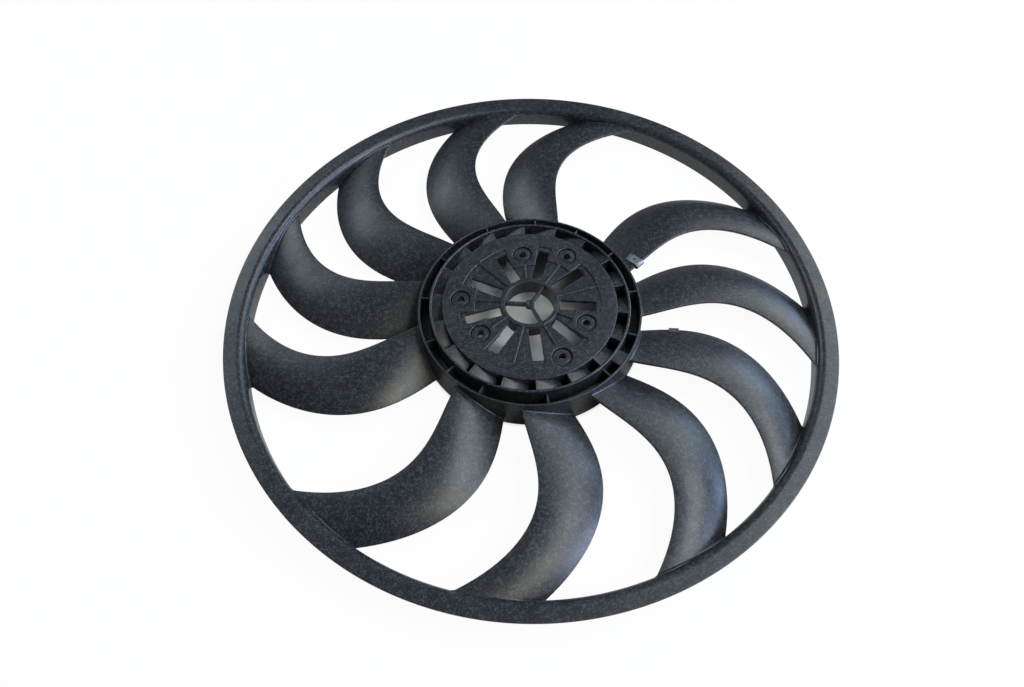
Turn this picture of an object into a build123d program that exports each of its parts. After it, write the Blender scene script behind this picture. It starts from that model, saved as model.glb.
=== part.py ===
from build123d import *
import math
import os

# Axial fan impeller: hub cup, uneven swept blades and a flanged outer ring in one moulding,
# with two folded steel balance clips on its blades.
# Frame: the fan axis is Z, and Z = 0 is the bottom edge of the hub skirt, on which it stands.

# ---- Driving dimensions (mm and degrees) -------------------------------------------------

# Outer ring: a vertical wall with a flange turned outward at its top
RING_OUTER_R = 230.0
RING_INNER_R = 215.0
RING_TOP_Z = 22.5
RING_HEIGHT = 17.5
RING_WALL = 2.4
RING_MOUTH_R = 6.0

# Top of the hub, outwards from the axis: flat disc, channel, raised ridge and second channel
FACE_Z = 32.0
DISC_R = 65.7
DISC_THICKNESS = 4.0
DISC_WALL = 2.2
INNER_CHANNEL_WIDTH = 8.0
RIDGE_WALL = 2.0
OUTER_CHANNEL_WIDTH = 7.2
CHANNEL_FLOOR_Z = 14.0
CHANNEL_FLOOR_THICKNESS = 2.4

# Hub skirt round the channels: a slightly conical cup wall
SKIRT_WALL = 1.6
SKIRT_TAPER = 1.5
SKIRT_RIM_Z = 28.0

# Curved vanes across the inner channel and thin ribs across the outer one
VANE_COUNT = 18
VANE_START_DEG = 20.2
VANE_SPAN_DEG = 16.0
VANE_EDGE_DROP = 0.6
VANE_MIDDLE_DROP = 3.7
VANE_END_DROP = 9.4
RIB_THICKNESS = 1.4
RIB_DROP = 0.6
WIDE_PITCH_DEG = 40.0
PAD_DEG = 324.5
PAD_SPAN_DEG = 8.0

# Slots, pockets and ribs of the disc
SLOT_COUNT = 9
SLOT_START_DEG = 36.0
SLOT_WIDTH = 8.5
SLOT_INNER_R = 22.8
SLOT_OUTER_R = 50.0
POCKET_INNER_R = 22.0
POCKET_OUTER_R = 53.6
POCKET_DEPTH = 1.0
PETAL_WIDTH = 1.8

# Screw holes: two sets of three, each in a raised land of the disc
HOLE_R = 2.8
HOLES_PER_SET = 3
INNER_SET_PCD = 91.0
INNER_SET_DEG = 96.0
OUTER_SET_PCD = 104.5
OUTER_SET_DEG = 55.5
SEAT_R = 7.4
SEAT_DEPTH = 1.0
COLLAR_R = 5.0
COLLAR_DEPTH = 0.5
LAND_SPAN_DEG = 28.0
LAND_MARGIN = 10.8
SCREW_PAD_R = 8.0
SCREW_PAD_HEIGHT = 3.5

# Central opening with three spokes that meet at a small boss
BORE_R = 18.8
BORE_WALL = 2.2
BORE_DEPTH = 14.0
SPOKE_WIDTH = 2.4
SPOKE_DROP = 1.2
SPOKE_HEIGHT = 3.5
BOSS_R = 3.6
BOSS_DIMPLE_R = 1.6
BOSS_DIMPLE_DEPTH = 1.0

# Blades: angles and heights at five even stations from the hub skirt to the ring wall.
# The high edge is the clockwise one seen from above, and the low edge the other.
BLADE_PITCHES_DEG = (28, 49, 28, 32, 28, 28, 41, 35, 35, 28, 28)
FIRST_BLADE_DEG = 11.0
HIGH_EDGE_DEG = (-15.5, -10.0, -9.3, -14.7, -24.6)
LOW_EDGE_DEG = (11.3, 11.9, 8.5, 1.0, -9.4)
HIGH_EDGE_BELOW_RIM = (5.6, 5.5, 6.2, 7.7, 10.2)
LOW_EDGE_ABOVE_BASE = (3.7, 7.3, 10.0, 10.4, 8.0)
BLADE_THICKNESS = 2.4
BLADE_CAMBER = 3.6
BLADE_OVERRUN = 6.0

# Balance clips: folded strips pushed over blade edges, one long leg and one short leg each
CLIP_WIDTH = 7.4
CLIP_LONG_LEG = 10.5
CLIP_SHORT_LEG = 4.6
CLIP_SHEET = 0.8
CLIP_GAP = 0.2
CLIP_HOLE_R = 0.9
FRONT_CLIP_BLADE_DEG = 39.0
FRONT_CLIP_FROM_SKIRT = 10.7
REAR_CLIP_BLADE_DEG = 343.0
REAR_CLIP_FROM_SKIRT = 25.5

# ---- Derived values ----------------------------------------------------------------------

RING_BOTTOM_Z = RING_TOP_Z - RING_HEIGHT
RIDGE_INNER_R = DISC_R + INNER_CHANNEL_WIDTH
RIDGE_OUTER_R = RIDGE_INNER_R + RIDGE_WALL
RIM_INNER_R = RIDGE_OUTER_R + OUTER_CHANNEL_WIDTH
SKIRT_RIM_R = RIM_INNER_R + SKIRT_WALL
SKIRT_BASE_R = SKIRT_RIM_R + SKIRT_TAPER
SKIRT_DRAFT = SKIRT_TAPER / SKIRT_RIM_Z
BLADE_ROOT_R = RIM_INNER_R + SKIRT_WALL / 2
BLADE_TIP_R = RING_INNER_R + RING_WALL / 2
CHANNEL_UNDER_Z = CHANNEL_FLOOR_Z - CHANNEL_FLOOR_THICKNESS
DISC_UNDER_Z = FACE_Z - DISC_THICKNESS
POCKET_Z = FACE_Z - POCKET_DEPTH
CUT = 1.0


def skirt_r(z):
    """Outside radius of the skirt at height z."""
    return SKIRT_BASE_R - SKIRT_DRAFT * z


def revolved(points):
    """Solid of revolution about Z of a closed outline of (radius, height) points."""
    outline = Polyline([(r, 0, z) for r, z in points], close=True)
    return revolve(make_face(outline), Axis.Z)


def sector(inner_r, outer_r, z, height, middle_deg, span_deg):
    """Annular sector standing on height z."""
    half = math.radians(span_deg / 2)
    reach = 2 * outer_r
    wedge = Polyline(
        (0, 0),
        (reach * math.cos(half), -reach * math.sin(half)),
        (reach * math.cos(half), reach * math.sin(half)),
        close=True,
    )
    face = (Circle(outer_r) - Circle(inner_r)) & make_face(wedge)
    return Rot(0, 0, middle_deg) * Pos(0, 0, z) * extrude(face, height)


def radial_bar(inner_r, outer_r, width, z, height, angle_deg):
    """Straight bar along a radius, standing on height z."""
    bar = Box(outer_r - inner_r, width, height, align=(Align.MIN, Align.CENTER, Align.MIN))
    return Rot(0, 0, angle_deg) * Pos(inner_r, 0, z) * bar


def even_angles(count, start_deg):
    """Angles of count places spread evenly round the axis."""
    return [start_deg + 360 * i / count for i in range(count)]


# ---- Ring --------------------------------------------------------------------------------


def make_ring():
    """Shroud ring: wall, rounded mouth and flange as one revolved section."""
    wall_outer_r = RING_INNER_R + RING_WALL
    flange_under_z = RING_TOP_Z - RING_WALL
    throat = RING_MOUTH_R - RING_WALL
    centre = (RING_INNER_R + RING_MOUTH_R, RING_TOP_Z - RING_MOUTH_R)
    diagonal = RING_MOUTH_R * math.cos(math.pi / 4)

    def point(r, z):
        return (r, 0, z)

    mouth = ThreePointArc(
        point(RING_INNER_R, centre[1]),
        point(centre[0] - diagonal, centre[1] + diagonal),
        point(centre[0], RING_TOP_Z),
    )
    rest = Polyline(
        point(centre[0], RING_TOP_Z),
        point(RING_OUTER_R, RING_TOP_Z),
        point(RING_OUTER_R, flange_under_z),
        point(wall_outer_r + throat, flange_under_z),
        point(wall_outer_r, flange_under_z - throat),
        point(wall_outer_r, RING_BOTTOM_Z),
        point(RING_INNER_R, RING_BOTTOM_Z),
        point(RING_INNER_R, centre[1]),
    )
    outline = Wire([*mouth.edges(), *rest.edges()])
    return revolve(make_face(outline), Axis.Z)


# ---- Hub ---------------------------------------------------------------------------------


def make_hub_shell():
    """Skirt, channels, ridge, disc and bore collar as one revolved section."""
    collar_bottom_z = FACE_Z - BORE_DEPTH
    return revolved(
        [
            (SKIRT_BASE_R, 0),
            (SKIRT_RIM_R, SKIRT_RIM_Z),
            (RIM_INNER_R, SKIRT_RIM_Z),
            (RIM_INNER_R, CHANNEL_FLOOR_Z),
            (RIDGE_OUTER_R, CHANNEL_FLOOR_Z),
            (RIDGE_OUTER_R, FACE_Z),
            (RIDGE_INNER_R, FACE_Z),
            (RIDGE_INNER_R, CHANNEL_FLOOR_Z),
            (DISC_R, CHANNEL_FLOOR_Z),
            (DISC_R, FACE_Z),
            (BORE_R, FACE_Z),
            (BORE_R, collar_bottom_z),
            (BORE_R + BORE_WALL, collar_bottom_z),
            (BORE_R + BORE_WALL, DISC_UNDER_Z),
            (DISC_R - DISC_WALL, DISC_UNDER_Z),
            (DISC_R - DISC_WALL, CHANNEL_UNDER_Z),
            (skirt_r(CHANNEL_UNDER_Z) - SKIRT_WALL, CHANNEL_UNDER_Z),
            (SKIRT_BASE_R - SKIRT_WALL, 0),
        ]
    )


def make_vanes():
    """Vanes of the inner channel: each falls in a curve from its sharp edge to the next window."""
    outer_r = RIDGE_OUTER_R - RIDGE_WALL / 2
    half = outer_r * math.sin(math.radians(VANE_SPAN_DEG / 2))
    edge = (0, -half, FACE_Z - VANE_EDGE_DROP)
    middle = (0, 0, FACE_Z - VANE_MIDDLE_DROP)
    end = (0, half, FACE_Z - VANE_END_DROP)
    under_z = CHANNEL_FLOOR_Z - CUT
    sides = Polyline(end, (0, half, under_z), (0, -half, under_z), edge)
    outline = Wire([*ThreePointArc(edge, middle, end).edges(), *sides.edges()])
    ramp = extrude(make_face(outline), outer_r, dir=(1, 0, 0))
    height = FACE_Z - CHANNEL_FLOOR_Z
    vane = sector(DISC_R - CUT, outer_r, CHANNEL_FLOOR_Z, height, 0, VANE_SPAN_DEG) & ramp
    return [Rot(0, 0, angle) * vane for angle in even_angles(VANE_COUNT, VANE_START_DEG)]


def make_channel_ribs():
    """Thin ribs across the outer channel, one behind each blade and one in each wide gap."""
    height = SKIRT_RIM_Z - RIB_DROP - CHANNEL_FLOOR_Z
    root_middle = (HIGH_EDGE_DEG[0] + LOW_EDGE_DEG[0]) / 2
    angles = [angle + root_middle for angle in blade_angles()]
    for angle, pitch in zip(blade_angles(), BLADE_PITCHES_DEG):
        if pitch > WIDE_PITCH_DEG:
            angles.append(angle + root_middle + pitch / 2)
    inner_r = RIDGE_OUTER_R - RIDGE_WALL / 2
    outer_r = RIM_INNER_R + SKIRT_WALL / 2
    ribs = [radial_bar(inner_r, outer_r, RIB_THICKNESS, CHANNEL_FLOOR_Z, height, a) for a in angles]
    return ribs + [sector(inner_r, outer_r, CHANNEL_FLOOR_Z, height, PAD_DEG, PAD_SPAN_DEG)]


def hole_places():
    """(radius, angle) of each screw hole, the inner set first."""
    inner = [(INNER_SET_PCD / 2, a) for a in even_angles(HOLES_PER_SET, INNER_SET_DEG)]
    outer = [(OUTER_SET_PCD / 2, a) for a in even_angles(HOLES_PER_SET, OUTER_SET_DEG)]
    return inner + outer


def make_pockets():
    """Sunk area of the disc, with a land left round each screw hole and a petal between slots."""
    sunk = extrude(Circle(POCKET_OUTER_R) - Circle(POCKET_INNER_R), POCKET_DEPTH + CUT)
    pockets = Pos(0, 0, POCKET_Z) * sunk
    for radius, angle in hole_places():
        pockets -= sector(
            radius - LAND_MARGIN, DISC_R, POCKET_Z, POCKET_DEPTH + CUT, angle, LAND_SPAN_DEG
        )
    half_pitch = 180 / SLOT_COUNT
    for angle in even_angles(SLOT_COUNT, SLOT_START_DEG + half_pitch):
        pockets -= radial_bar(
            POCKET_INNER_R - CUT, DISC_R, PETAL_WIDTH, POCKET_Z, POCKET_DEPTH + CUT, angle
        )
    return pockets


def make_disc_slots():
    """Radial slots right through the disc."""
    height = DISC_THICKNESS + 2 * CUT
    return [
        radial_bar(SLOT_INNER_R, SLOT_OUTER_R, SLOT_WIDTH, DISC_UNDER_Z - CUT, height, angle)
        for angle in even_angles(SLOT_COUNT, SLOT_START_DEG)
    ]


def make_screw_pads():
    """Round pads under the disc where the screws clamp it to the motor."""
    pad = Pos(0, 0, DISC_UNDER_Z - SCREW_PAD_HEIGHT) * extrude(
        Circle(SCREW_PAD_R), SCREW_PAD_HEIGHT + CUT
    )
    return [Rot(0, 0, angle) * Pos(radius, 0, 0) * pad for radius, angle in hole_places()]


def make_screw_cuts():
    """Screw hole with its stepped seat, at each place."""
    through = extrude(Circle(HOLE_R), DISC_THICKNESS + SCREW_PAD_HEIGHT + 2 * CUT)
    hole = Pos(0, 0, DISC_UNDER_Z - SCREW_PAD_HEIGHT - CUT) * through
    seat = Pos(0, 0, FACE_Z - SEAT_DEPTH) * extrude(Circle(SEAT_R), SEAT_DEPTH + CUT)
    collar = Pos(0, 0, FACE_Z - SEAT_DEPTH) * extrude(
        Circle(COLLAR_R) - Circle(HOLE_R), COLLAR_DEPTH
    )
    cut = hole + (seat - collar)
    return [Rot(0, 0, angle) * Pos(radius, 0, 0) * cut for radius, angle in hole_places()]


def make_spokes():
    """Three spokes across the bore and the boss where they meet."""
    top_z = FACE_Z - SPOKE_DROP
    bottom_z = top_z - SPOKE_HEIGHT
    boss = Pos(0, 0, bottom_z) * extrude(Circle(BOSS_R), SPOKE_HEIGHT)
    boss -= Pos(0, 0, top_z - BOSS_DIMPLE_DEPTH) * extrude(
        Circle(BOSS_DIMPLE_R), BOSS_DIMPLE_DEPTH + CUT
    )
    spokes = [
        radial_bar(BOSS_R - CUT, BORE_R + CUT, SPOKE_WIDTH, bottom_z, SPOKE_HEIGHT, angle)
        for angle in even_angles(HOLES_PER_SET, OUTER_SET_DEG)
    ]
    return [boss, *spokes]


def make_hub():
    """The whole hub without blades."""
    hub = make_hub_shell() + make_vanes() + make_channel_ribs() + make_screw_pads()
    hub -= make_pockets()
    hub -= make_disc_slots()
    hub -= make_screw_cuts()
    return hub + make_spokes()


# ---- Blades ------------------------------------------------------------------------------


def blade_angles():
    """Angle of each blade's reference line."""
    angles = [FIRST_BLADE_DEG]
    for pitch in BLADE_PITCHES_DEG[:-1]:
        angles.append(angles[-1] + pitch)
    return angles


def along(stations, share):
    """Smooth value through evenly spaced stations, at a share from root (0) to tip (1)."""
    last = len(stations) - 1
    total = 0.0
    for i, value in enumerate(stations):
        weight = 1.0
        for j in range(last + 1):
            if j != i:
                weight *= (share * last - j) / (i - j)
        total += value * weight
    return total


def edge_angles(radius):
    """Angles of the high and low edge at a radius, in degrees from the blade's reference line."""
    share = (radius - BLADE_ROOT_R) / (BLADE_TIP_R - BLADE_ROOT_R)
    return along(HIGH_EDGE_DEG, share), along(LOW_EDGE_DEG, share)


def blade_height(radius, chord_share):
    """Height of the blade's upper surface, at a share of the chord from high to low edge."""
    share = (radius - BLADE_ROOT_R) / (BLADE_TIP_R - BLADE_ROOT_R)
    high_z = SKIRT_RIM_Z - along(HIGH_EDGE_BELOW_RIM, share)
    low_z = along(LOW_EDGE_ABOVE_BASE, share)
    bulge = 4 * BLADE_CAMBER * chord_share * (1 - chord_share)
    return high_z + (low_z - high_z) * chord_share + bulge


def blade_point(radius, chord_share):
    """Point of the blade's upper surface, at a share of the chord from high to low edge."""
    high_deg, low_deg = edge_angles(radius)
    angle = math.radians(high_deg + (low_deg - high_deg) * chord_share)
    height = blade_height(radius, chord_share)
    return Vector(radius * math.cos(angle), radius * math.sin(angle), height)


def make_blade():
    """One blade as a thickened spline surface that overruns the skirt and the ring wall."""
    rows = 8
    columns = 5
    start_r = BLADE_ROOT_R - BLADE_OVERRUN
    reach = BLADE_TIP_R + BLADE_OVERRUN - start_r
    radii = [start_r + reach * i / (rows - 1) for i in range(rows)]
    grid = [[blade_point(r, j / (columns - 1)) for j in range(columns)] for r in radii]
    surface = Face.make_surface_from_array_of_points(grid, tol=0.05, min_deg=3, max_deg=4)
    return Solid.thicken(surface, -BLADE_THICKNESS, normal_override=(0, 0, 1))


def make_blades():
    """All blades, trimmed inside the skirt wall and the ring wall."""
    inside_skirt = revolved(
        [
            (0, -SKIRT_RIM_Z),
            (skirt_r(-SKIRT_RIM_Z) - SKIRT_WALL / 2, -SKIRT_RIM_Z),
            (skirt_r(2 * SKIRT_RIM_Z) - SKIRT_WALL / 2, 2 * SKIRT_RIM_Z),
            (0, 2 * SKIRT_RIM_Z),
        ]
    )
    within_ring = Pos(0, 0, -SKIRT_RIM_Z) * extrude(Circle(BLADE_TIP_R), 3 * SKIRT_RIM_Z)
    blade = (make_blade() & within_ring) - inside_skirt
    return [Rot(0, 0, angle) * blade for angle in blade_angles()]


def make_impeller():
    """The one-piece moulding."""
    return make_hub() + make_ring() + make_blades()


# ---- Balance clips -----------------------------------------------------------------------


def make_clip(blade_deg, from_skirt, on_high_edge, upper_leg, lower_leg):
    """Folded strip over the nearest blade's edge, with its legs along both faces of the blade."""
    edge_r = SKIRT_BASE_R + from_skirt
    side = 0 if on_high_edge else 1
    edge = blade_point(edge_r, side)
    run = blade_point(edge_r + CUT, side) - blade_point(edge_r - CUT, side)
    along_edge = Vector(run.X, run.Y, 0).normalized()
    inward = along_edge.rotate(Axis.Z, 90 if on_high_edge else -90)

    def plan(shift, inset):
        """Point in plan, at a shift along the edge and an inset from it."""
        return edge + along_edge * shift + inward * inset

    def surface(shift, inset):
        """(inset, height) of the blade's upper face."""
        spot = plan(shift, inset)
        radius = math.hypot(spot.X, spot.Y)
        start, end = edge_angles(radius)
        angle = math.degrees(math.atan2(spot.Y, spot.X))
        return (inset, blade_height(radius, (angle - start) / (end - start)))

    def offset(shift, inset, amount):
        """Point at an amount above (or below) the upper face, along the face's normal."""
        step = CUT / 2
        rise = surface(shift, inset + step)[1] - surface(shift, inset - step)[1]
        length = math.hypot(rise, 2 * step)
        x, z = surface(shift, inset)
        return (x - rise / length * amount, z + 2 * step / length * amount)

    def section(shift):
        """Closed outline of the strip at a shift along the edge."""
        above = CLIP_GAP
        below = -(BLADE_THICKNESS + CLIP_GAP)
        middle = offset(shift, 0, -BLADE_THICKNESS / 2)
        top = offset(shift, 0, 0)
        up = ((top[0] - middle[0]), (top[1] - middle[1]))
        scale = 2 / BLADE_THICKNESS

        def leg(length, level):
            return [offset(shift, length * i / 2, level) for i in (2, 1, 0)]

        def fold(radius):
            return (middle[0] - up[1] * scale * radius, middle[1] + up[0] * scale * radius)

        def place(point):
            spot = plan(shift, point[0])
            return Vector(spot.X, spot.Y, point[1])

        inner_r = BLADE_THICKNESS / 2 + CLIP_GAP
        top_in = [place(p) for p in leg(upper_leg, above)]
        top_out = [place(p) for p in leg(upper_leg, above + CLIP_SHEET)]
        low_in = [place(p) for p in leg(lower_leg, below)]
        low_out = [place(p) for p in leg(lower_leg, below - CLIP_SHEET)]
        lines = [
            Polyline(top_in),
            ThreePointArc(top_in[-1], place(fold(inner_r)), low_in[-1]),
            Polyline(low_in[::-1]),
            Line(low_in[0], low_out[0]),
            Polyline(low_out),
            ThreePointArc(low_out[-1], place(fold(inner_r + CLIP_SHEET)), top_out[-1]),
            Polyline(top_out[::-1]),
            Line(top_out[0], top_in[0]),
        ]
        return make_face(Wire([piece for line in lines for piece in line.edges()]))

    clip = loft([section(-CLIP_WIDTH / 2), section(CLIP_WIDTH / 2)], ruled=True)
    hole_inset, hole_z = surface(0, CLIP_LONG_LEG / 2)
    centre = plan(0, hole_inset)
    reach = BLADE_THICKNESS + 2 * CLIP_SHEET
    bottom = hole_z if upper_leg > lower_leg else hole_z - 2 * reach
    clip -= Pos(centre.X, centre.Y, bottom) * extrude(Circle(CLIP_HOLE_R), 2 * reach)
    blade_angle = min(blade_angles(), key=lambda angle: abs(angle - blade_deg))
    return Rot(0, 0, blade_angle) * clip


def make_clips():
    """Both balance clips by node name."""
    return {
        "front_balance_clip": make_clip(
            FRONT_CLIP_BLADE_DEG, FRONT_CLIP_FROM_SKIRT, True, CLIP_LONG_LEG, CLIP_SHORT_LEG
        ),
        "rear_balance_clip": make_clip(
            REAR_CLIP_BLADE_DEG, REAR_CLIP_FROM_SKIRT, False, CLIP_SHORT_LEG, CLIP_LONG_LEG
        ),
    }


if __name__ == "__main__":
    os.makedirs("parts", exist_ok=True)
    nodes = {"impeller": make_impeller(), **make_clips()}
    for name, node in nodes.items():
        export_step(node, f"parts/{name}.step")
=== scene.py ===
"""Dresses the axial fan impeller: rounded moulding, balance clips, finishes and studio."""

import logging
import math
from dataclasses import dataclass
from enum import Enum
from typing import ClassVar, Iterable, Sequence

import bmesh
import bpy
import numpy as np
from mathutils import Matrix, Vector


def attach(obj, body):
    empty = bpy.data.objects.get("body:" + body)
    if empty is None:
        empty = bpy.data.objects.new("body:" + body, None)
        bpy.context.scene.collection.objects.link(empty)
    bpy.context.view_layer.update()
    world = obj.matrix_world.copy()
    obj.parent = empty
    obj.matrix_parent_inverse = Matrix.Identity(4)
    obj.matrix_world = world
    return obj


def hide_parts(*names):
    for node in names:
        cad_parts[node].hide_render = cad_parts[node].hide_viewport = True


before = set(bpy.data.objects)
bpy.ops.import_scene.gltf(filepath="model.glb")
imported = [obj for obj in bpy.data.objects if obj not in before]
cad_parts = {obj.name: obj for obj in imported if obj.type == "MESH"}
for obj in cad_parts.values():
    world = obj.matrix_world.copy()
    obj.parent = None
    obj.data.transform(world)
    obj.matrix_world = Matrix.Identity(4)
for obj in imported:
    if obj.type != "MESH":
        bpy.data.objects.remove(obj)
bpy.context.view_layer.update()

MM = 0.001
WHOLE_TURN = 2 * math.pi
WHITE = (1, 1, 1, 1)

# In millimetres: how far hidden edges sink into their neighbours, and the radius that stands for
# the axis where a section would close on it.
OVERLAP = 1.0
AXIS_R = 0.01

# Corners flatter than this aren't rounded, and an arc takes at most this share of a side.
STRAIGHT_DEG = 176.0
CORNER_REACH = 0.48

# Steps for a face's directions, as a share of the chord and in millimetres of radius.
SHARE_STEP = 0.001
RADIUS_STEP = 0.05

SMALL_SEGMENTS = 72
MERGE_DISTANCE = 1e-6
SHARP_DEG = 40.0
AREA_WEIGHT = 80

Point2 = tuple[float, float]
Corner = tuple[float, float, float]
# Distance from the high edge, height from the middle and outward direction, in a blade's section.
SectionPoint = tuple[float, float, float, float]

Piece = bpy.types.Object
Material = bpy.types.Material
Tree = bpy.types.NodeTree
Socket = bpy.types.NodeSocket

log = logging.getLogger("impeller")


class Slot(Enum):
    """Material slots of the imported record."""

    MOULDING = "moulding"
    CLIP_STEEL = "clip_steel"


class BladeEdge(Enum):
    """Edge of a blade, by its share of the chord."""

    HIGH = 0.0
    LOW = 1.0


# ---- Sizes in millimetres and degrees ----


@dataclass(frozen=True)
class RingSizes:
    """Outer ring: a wall with a rounded mouth and a flange turned outward."""

    outer_r: float = 230.0
    inner_r: float = 215.0
    top_z: float = 22.5
    height: float = 17.5
    wall: float = 2.4
    mouth_r: float = 6.0
    edge_r: float = 0.7

    @property
    def bottom_z(self) -> float:
        """Height of the wall's lower edge."""
        return self.top_z - self.height

    def wall_r(self, z: float) -> float:
        """Radius of the inner face at a height, through the rounded mouth.

        Args:
            z: Height in millimetres.

        Returns:
            Radius in millimetres.
        """
        rise = z - (self.top_z - self.mouth_r)
        if rise <= 0:
            return self.inner_r
        rise = min(rise, self.mouth_r)
        return self.inner_r + self.mouth_r - math.sqrt(self.mouth_r**2 - rise**2)


@dataclass(frozen=True)
class HubSizes:
    """Hub: drive face, two channels with a ridge between them, rim and tapered skirt."""

    face_z: float = 32.0
    disc_r: float = 65.7
    disc_thickness: float = 4.0
    disc_wall: float = 2.2
    inner_channel: float = 8.0
    ridge_wall: float = 2.0
    outer_channel: float = 7.2
    floor_z: float = 14.0
    floor_thickness: float = 2.4
    skirt_wall: float = 1.6
    skirt_taper: float = 1.5
    rim_z: float = 28.0
    edge_r: float = 0.5
    ridge_edge_r: float = 0.8
    root_r: float = 0.8
    draft: float = 0.3

    @property
    def ridge_inner_r(self) -> float:
        """Inner radius of the ridge."""
        return self.disc_r + self.inner_channel

    @property
    def ridge_outer_r(self) -> float:
        """Outer radius of the ridge."""
        return self.ridge_inner_r + self.ridge_wall

    @property
    def rim_inner_r(self) -> float:
        """Inner radius of the skirt's rim."""
        return self.ridge_outer_r + self.outer_channel

    @property
    def under_z(self) -> float:
        """Height of the drive face's underside."""
        return self.face_z - self.disc_thickness

    def skirt_r(self, z: float) -> float:
        """Outside radius of the skirt at a height, in millimetres."""
        rim_r = self.rim_inner_r + self.skirt_wall
        return rim_r + self.skirt_taper * (1 - z / self.rim_z)


RING = RingSizes()
HUB = HubSizes()


# ---- Mesh helpers ----


def even_angles(count: int, start_deg: float) -> list[float]:
    """Angles in degrees spread evenly round the axis, from a first one."""
    return [start_deg + 360 * i / count for i in range(count)]


def polar(radius: float, deg: float) -> Point2:
    """Point of the plan at a radius and an angle in degrees."""
    return radius * math.cos(math.radians(deg)), radius * math.sin(math.radians(deg))


def rounded(corners: Sequence[Corner], steps: int = 4) -> list[Point2]:
    """Closed outline whose corners are replaced by arcs.

    Args:
        corners: (x, y, radius) of each corner; a radius of 0 keeps it sharp.
        steps: Straight pieces in each arc.

    Returns:
        Points of the outline.
    """
    outline: list[Point2] = []
    count = len(corners)
    for i, (x, y, radius) in enumerate(corners):
        here = Vector((x, y))
        back = Vector(corners[i - 1][:2]) - here
        ahead = Vector(corners[(i + 1) % count][:2]) - here
        turn = back.angle(ahead, math.pi) if back.length and ahead.length else math.pi
        if radius <= 0 or turn > math.radians(STRAIGHT_DEG):
            outline.append((x, y))
            continue
        room = CORNER_REACH * min(back.length, ahead.length)
        reach = min(radius / math.tan(turn / 2), room)
        radius = reach * math.tan(turn / 2)
        start = here + back.normalized() * reach
        middle = (back.normalized() + ahead.normalized()).normalized()
        centre = here + middle * (radius / math.sin(turn / 2))
        first = start - centre
        last = here + ahead.normalized() * reach - centre
        sweep = first.angle_signed(last)
        for k in range(steps + 1):
            spoke = first.copy()
            spoke.rotate(Matrix.Rotation(-sweep * k / steps, 2))
            outline.append(tuple(centre + spoke))
    return outline


def link(name: str, data: bpy.types.ID) -> Piece:
    """Object at the origin that holds some data, linked to the scene."""
    holder = bpy.data.objects.new(name, data)
    bpy.context.scene.collection.objects.link(holder)
    return holder


def evaluated(holder: Piece) -> bpy.types.Mesh:
    """Plain mesh of an object with its curve or modifiers carried out."""
    bpy.context.view_layer.update()
    graph = bpy.context.evaluated_depsgraph_get()
    return bpy.data.meshes.new_from_object(holder.evaluated_get(graph))


def face_outwards(mesh: bpy.types.Mesh, merge: bool = False) -> None:
    """Points a mesh's faces outwards.

    Args:
        mesh: The mesh, which is changed.
        merge: Whether points that coincide are joined first.
    """
    shell = bmesh.new()
    shell.from_mesh(mesh)
    if merge:
        bmesh.ops.remove_doubles(shell, verts=shell.verts, dist=MERGE_DISTANCE)
    bmesh.ops.recalc_face_normals(shell, faces=shell.faces)
    shell.to_mesh(mesh)
    shell.free()


def mesh_object(name: str, vertices: Sequence[Corner], faces: list[list[int]]) -> Piece:
    """Object at the origin, with its faces pointing outwards.

    Args:
        name: Name of the piece.
        vertices: Points in millimetres.
        faces: Corner indexes of each face.

    Returns:
        The new object.
    """
    mesh = bpy.data.meshes.new(name)
    mesh.from_pydata((np.asarray(vertices) * MM).tolist(), [], faces)
    face_outwards(mesh)
    return link(name, mesh)


def spin(name: str, profile: Sequence[Point2], segments: int = 360) -> Piece:
    """Solid of revolution about Z from a closed outline of (radius, height) points.

    Args:
        name: Name of the piece.
        profile: Closed outline in millimetres.
        segments: Number of faces round the axis.

    Returns:
        The new object.
    """
    outline = np.array(profile)
    turns = np.arange(segments) * WHOLE_TURN / segments
    x = np.outer(np.cos(turns), outline[:, 0])
    y = np.outer(np.sin(turns), outline[:, 0])
    z = np.tile(outline[:, 1], (segments, 1))
    vertices = np.stack([x, y, z], axis=2).reshape(-1, 3)
    return mesh_object(name, vertices, tube_faces(segments, len(profile), True))


def tube_faces(rows: int, columns: int, closed_rows: bool) -> list[list[int]]:
    """Faces of a grid whose columns close on themselves.

    Args:
        rows: Number of loops.
        columns: Points in each loop.
        closed_rows: Whether the last loop joins the first; otherwise both ends are capped.

    Returns:
        Corner indexes of each face.
    """
    faces = []
    for i in range(rows if closed_rows else rows - 1):
        here = i * columns
        ahead = (i + 1) % rows * columns
        for j in range(columns):
            k = (j + 1) % columns
            faces.append([here + j, ahead + j, ahead + k, here + k])
    if not closed_rows:
        faces.append(list(range(columns)))
        faces.append([(rows - 1) * columns + j for j in reversed(range(columns))])
    return faces


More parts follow.
